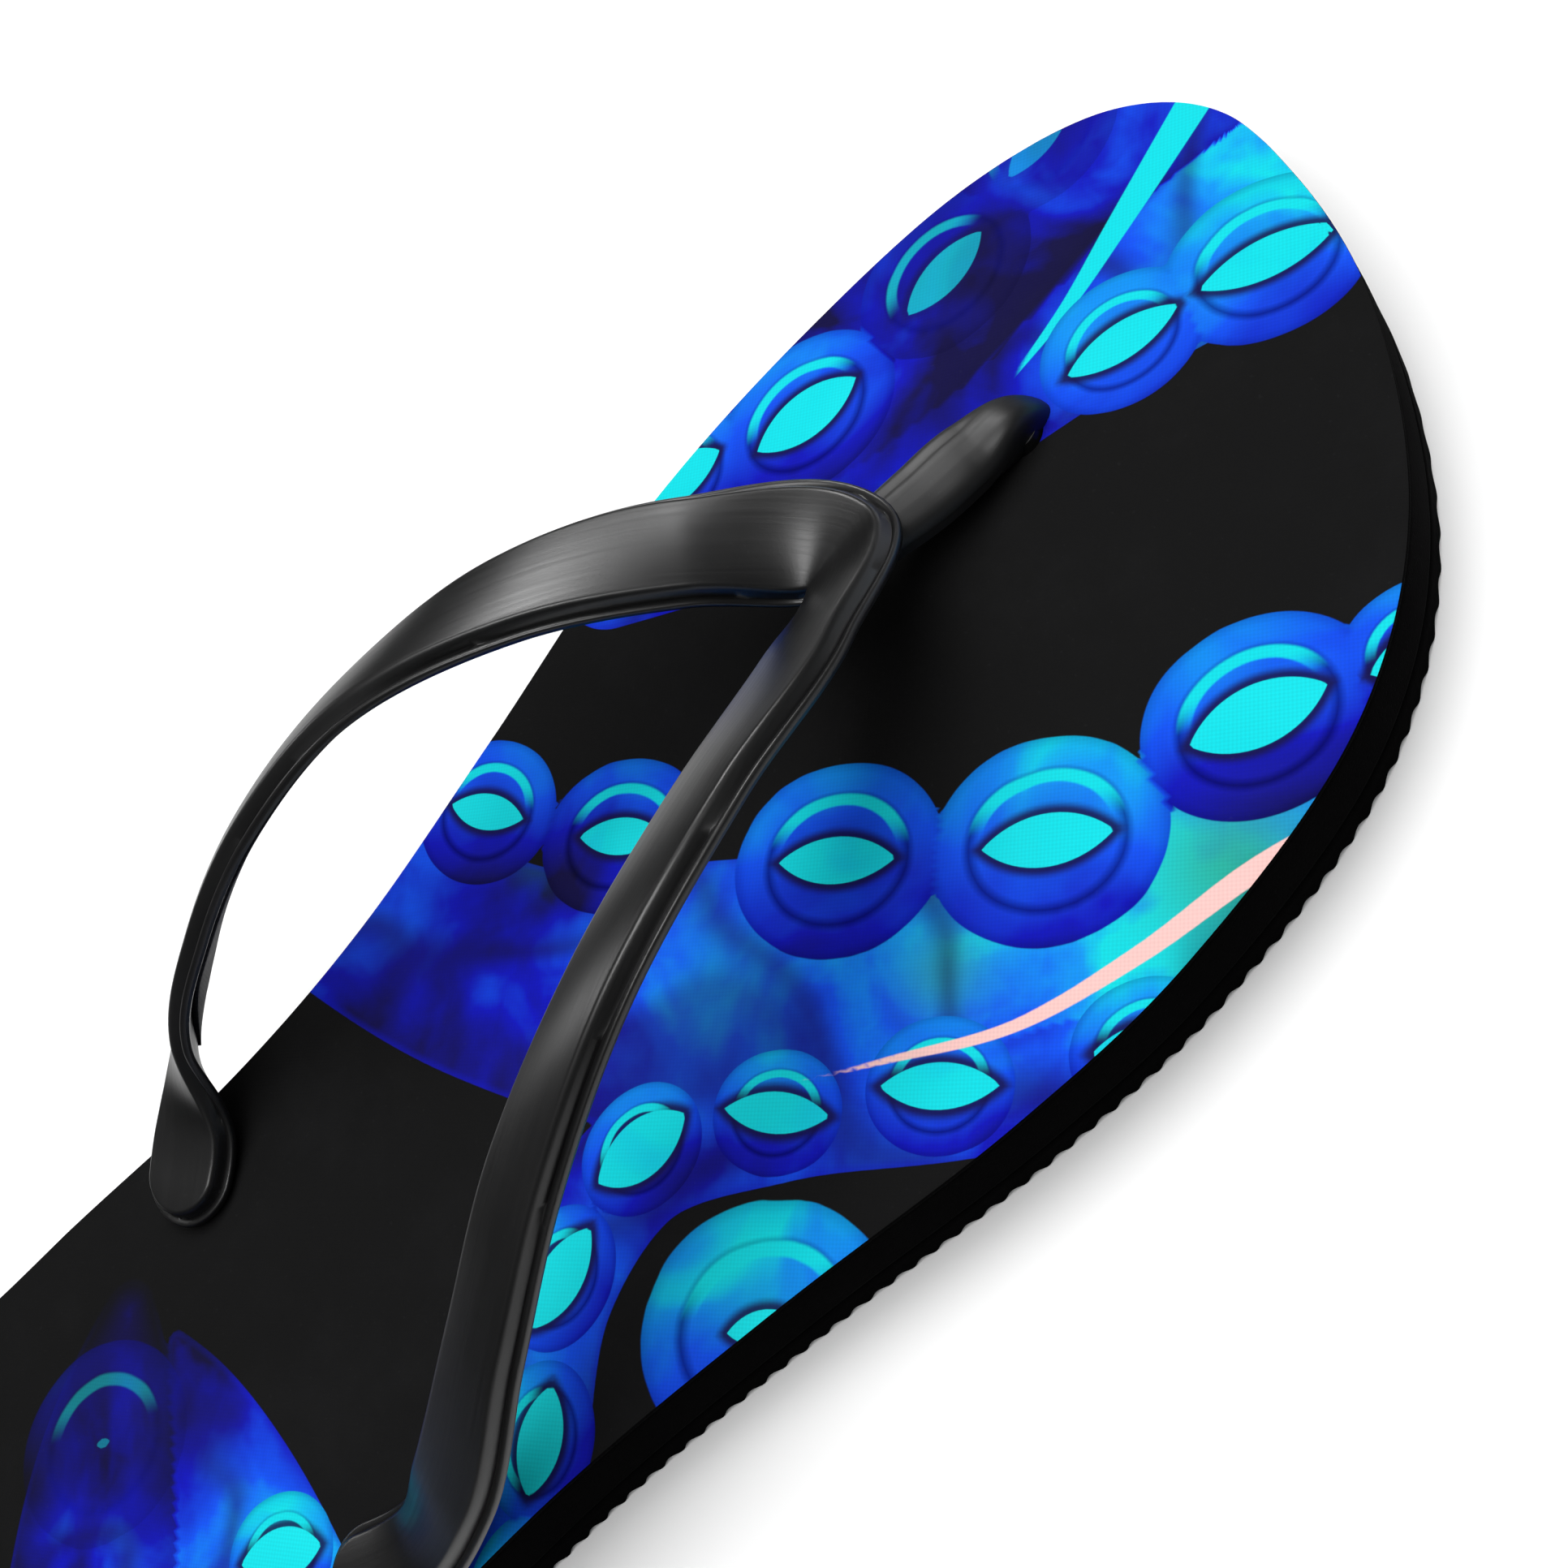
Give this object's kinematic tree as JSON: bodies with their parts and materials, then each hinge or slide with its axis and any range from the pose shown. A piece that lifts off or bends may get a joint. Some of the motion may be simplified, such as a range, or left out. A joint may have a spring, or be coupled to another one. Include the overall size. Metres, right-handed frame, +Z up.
{
  "type": "flip flop",
  "caption": "Right-foot flip flop: flat ridged sole with a printed cover, raised V strap and leaning toe post held by push-on discs.",
  "frame": {"origin": "centre of the sole's outline, on the ground", "axes": "+X towards the little toe, +Y towards the toes along the sole, +Z up"},
  "size_m": [0.0992, 0.2748, 0.0478],
  "materials": {
    "outsole": "matte",
    "footbed": "matte",
    "printed_cover": "matte",
    "strap": "satin",
    "lining": "matte",
    "anchor_disc": "satin"
  },
  "bodies": {
    "root": {"outsole": "outsole", "footbed": "footbed", "printed_top_cover": "printed_cover", "strap": "strap", "toe_post": "strap", "medial_strap_lining": "lining", "lateral_strap_lining": "lining", "toe_anchor_disc": "anchor_disc", "medial_anchor_disc": "anchor_disc", "lateral_anchor_disc": "anchor_disc"}
  },
  "joints": []
}
